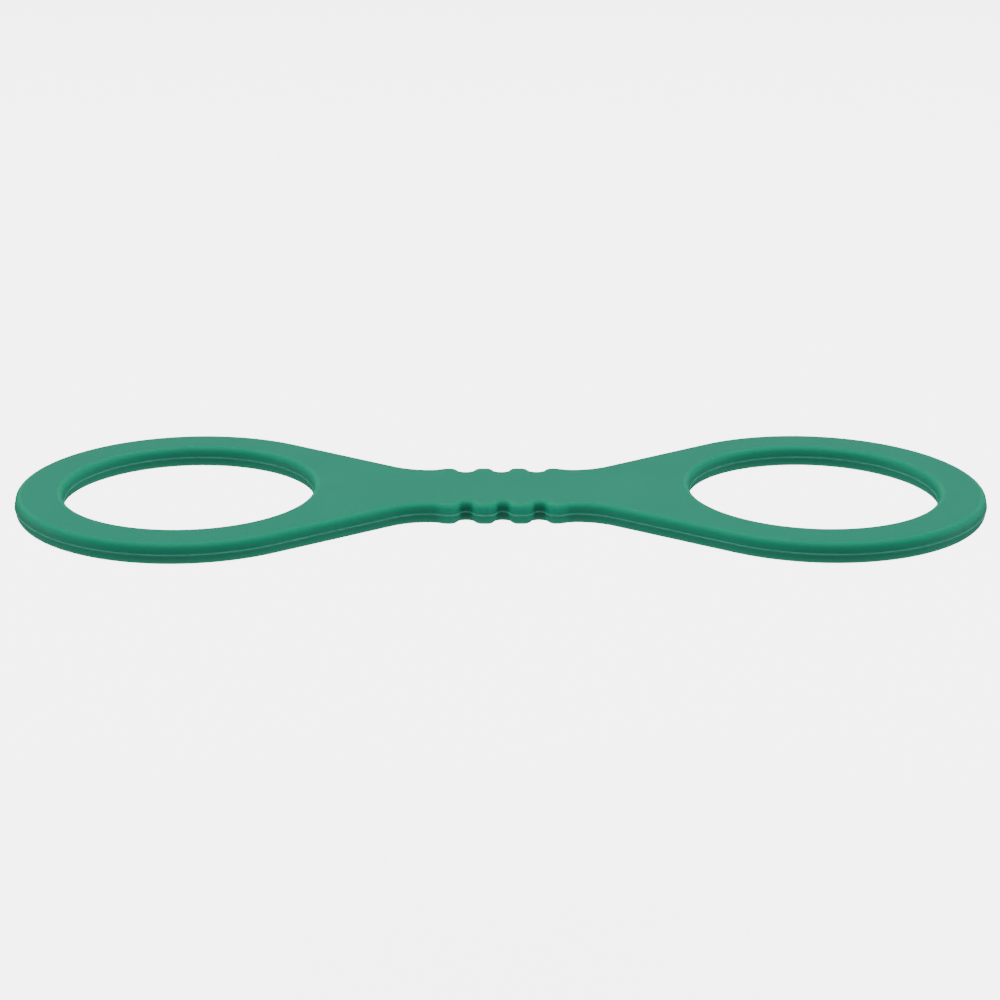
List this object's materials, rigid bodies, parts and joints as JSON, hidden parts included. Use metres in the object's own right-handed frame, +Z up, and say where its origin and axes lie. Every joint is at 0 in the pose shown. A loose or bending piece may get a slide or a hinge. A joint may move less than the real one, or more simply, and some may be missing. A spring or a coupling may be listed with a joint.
{
  "type": "jar lifter",
  "caption": "Flat one-piece silicone jar lifter: a stretch ring at each end of a waisted strap with scalloped edges, which bends freely to loop both rings over jars.",
  "frame": {"origin": "on the resting face, midway between the two rings", "axes": "+X along the strap from the left ring to the right ring, +Y across the strap, +Z up out of the flat face"},
  "size_m": [0.25, 0.0884, 0.0055],
  "materials": {
    "silicone": "satin"
  },
  "bodies": {
    "grip_middle": {"grip_middle": "silicone"},
    "grip_left_1": {"grip_left_1": "silicone"},
    "grip_left_2": {"grip_left_2": "silicone"},
    "grip_left_3": {"grip_left_3": "silicone"},
    "neck_left_1": {"neck_left_1": "silicone"},
    "neck_left_2": {"neck_left_2": "silicone"},
    "neck_left_3": {"neck_left_3": "silicone"},
    "neck_left_4": {"neck_left_4": "silicone"},
    "neck_left_5": {"neck_left_5": "silicone"},
    "neck_left_6": {"neck_left_6": "silicone"},
    "ring_left": {"ring_left": "silicone"},
    "grip_right_1": {"grip_right_1": "silicone"},
    "grip_right_2": {"grip_right_2": "silicone"},
    "grip_right_3": {"grip_right_3": "silicone"},
    "neck_right_1": {"neck_right_1": "silicone"},
    "neck_right_2": {"neck_right_2": "silicone"},
    "neck_right_3": {"neck_right_3": "silicone"},
    "neck_right_4": {"neck_right_4": "silicone"},
    "neck_right_5": {"neck_right_5": "silicone"},
    "neck_right_6": {"neck_right_6": "silicone"},
    "ring_right": {"ring_right": "silicone"}
  },
  "joints": [
    {"name": "grip_left_1_bend", "type": "hinge", "parent": "grip_middle", "child": "grip_left_1", "pos_m": [-0.00237, 0, 0.00275], "axis": [0, -1, 0], "range_deg": [-12, 12], "stiffness_Nm_per_rad": 0.2},
    {"name": "grip_left_2_bend", "type": "hinge", "parent": "grip_left_1", "child": "grip_left_2", "pos_m": [-0.00713, 0, 0.00275], "axis": [0, -1, 0], "range_deg": [-12, 12], "stiffness_Nm_per_rad": 0.2},
    {"name": "grip_left_3_bend", "type": "hinge", "parent": "grip_left_2", "child": "grip_left_3", "pos_m": [-0.01188, 0, 0.00275], "axis": [0, -1, 0], "range_deg": [-12, 12], "stiffness_Nm_per_rad": 0.2},
    {"name": "neck_left_1_bend", "type": "hinge", "parent": "grip_left_3", "child": "neck_left_1", "pos_m": [-0.01663, 0, 0.00275], "axis": [0, -1, 0], "range_deg": [-9, 9], "stiffness_Nm_per_rad": 0.3},
    {"name": "neck_left_2_bend", "type": "hinge", "parent": "neck_left_1", "child": "neck_left_2", "pos_m": [-0.02138, 0, 0.00275], "axis": [0, -1, 0], "range_deg": [-9, 9], "stiffness_Nm_per_rad": 0.3},
    {"name": "neck_left_3_bend", "type": "hinge", "parent": "neck_left_2", "child": "neck_left_3", "pos_m": [-0.02612, 0, 0.00275], "axis": [0, -1, 0], "range_deg": [-9, 9], "stiffness_Nm_per_rad": 0.3},
    {"name": "neck_left_4_bend", "type": "hinge", "parent": "neck_left_3", "child": "neck_left_4", "pos_m": [-0.03087, 0, 0.00275], "axis": [0, -1, 0], "range_deg": [-9, 9], "stiffness_Nm_per_rad": 0.3},
    {"name": "neck_left_5_bend", "type": "hinge", "parent": "neck_left_4", "child": "neck_left_5", "pos_m": [-0.03562, 0, 0.00275], "axis": [0, -1, 0], "range_deg": [-9, 9], "stiffness_Nm_per_rad": 0.3},
    {"name": "neck_left_6_bend", "type": "hinge", "parent": "neck_left_5", "child": "neck_left_6", "pos_m": [-0.04038, 0, 0.00275], "axis": [0, -1, 0], "range_deg": [-9, 9], "stiffness_Nm_per_rad": 0.3},
    {"name": "ring_left_bend", "type": "hinge", "parent": "neck_left_6", "child": "ring_left", "pos_m": [-0.04512, 0, 0.00275], "axis": [0, -1, 0], "range_deg": [-9, 9], "stiffness_Nm_per_rad": 0.3},
    {"name": "grip_right_1_bend", "type": "hinge", "parent": "grip_middle", "child": "grip_right_1", "pos_m": [0.00237, 0, 0.00275], "axis": [0, 1, 0], "range_deg": [-12, 12], "stiffness_Nm_per_rad": 0.2},
    {"name": "grip_right_2_bend", "type": "hinge", "parent": "grip_right_1", "child": "grip_right_2", "pos_m": [0.00713, 0, 0.00275], "axis": [0, 1, 0], "range_deg": [-12, 12], "stiffness_Nm_per_rad": 0.2},
    {"name": "grip_right_3_bend", "type": "hinge", "parent": "grip_right_2", "child": "grip_right_3", "pos_m": [0.01188, 0, 0.00275], "axis": [0, 1, 0], "range_deg": [-12, 12], "stiffness_Nm_per_rad": 0.2},
    {"name": "neck_right_1_bend", "type": "hinge", "parent": "grip_right_3", "child": "neck_right_1", "pos_m": [0.01663, 0, 0.00275], "axis": [0, 1, 0], "range_deg": [-9, 9], "stiffness_Nm_per_rad": 0.3},
    {"name": "neck_right_2_bend", "type": "hinge", "parent": "neck_right_1", "child": "neck_right_2", "pos_m": [0.02138, 0, 0.00275], "axis": [0, 1, 0], "range_deg": [-9, 9], "stiffness_Nm_per_rad": 0.3},
    {"name": "neck_right_3_bend", "type": "hinge", "parent": "neck_right_2", "child": "neck_right_3", "pos_m": [0.02612, 0, 0.00275], "axis": [0, 1, 0], "range_deg": [-9, 9], "stiffness_Nm_per_rad": 0.3},
    {"name": "neck_right_4_bend", "type": "hinge", "parent": "neck_right_3", "child": "neck_right_4", "pos_m": [0.03087, 0, 0.00275], "axis": [0, 1, 0], "range_deg": [-9, 9], "stiffness_Nm_per_rad": 0.3},
    {"name": "neck_right_5_bend", "type": "hinge", "parent": "neck_right_4", "child": "neck_right_5", "pos_m": [0.03562, 0, 0.00275], "axis": [0, 1, 0], "range_deg": [-9, 9], "stiffness_Nm_per_rad": 0.3},
    {"name": "neck_right_6_bend", "type": "hinge", "parent": "neck_right_5", "child": "neck_right_6", "pos_m": [0.04038, 0, 0.00275], "axis": [0, 1, 0], "range_deg": [-9, 9], "stiffness_Nm_per_rad": 0.3},
    {"name": "ring_right_bend", "type": "hinge", "parent": "neck_right_6", "child": "ring_right", "pos_m": [0.04512, 0, 0.00275], "axis": [0, 1, 0], "range_deg": [-9, 9], "stiffness_Nm_per_rad": 0.3}
  ]
}
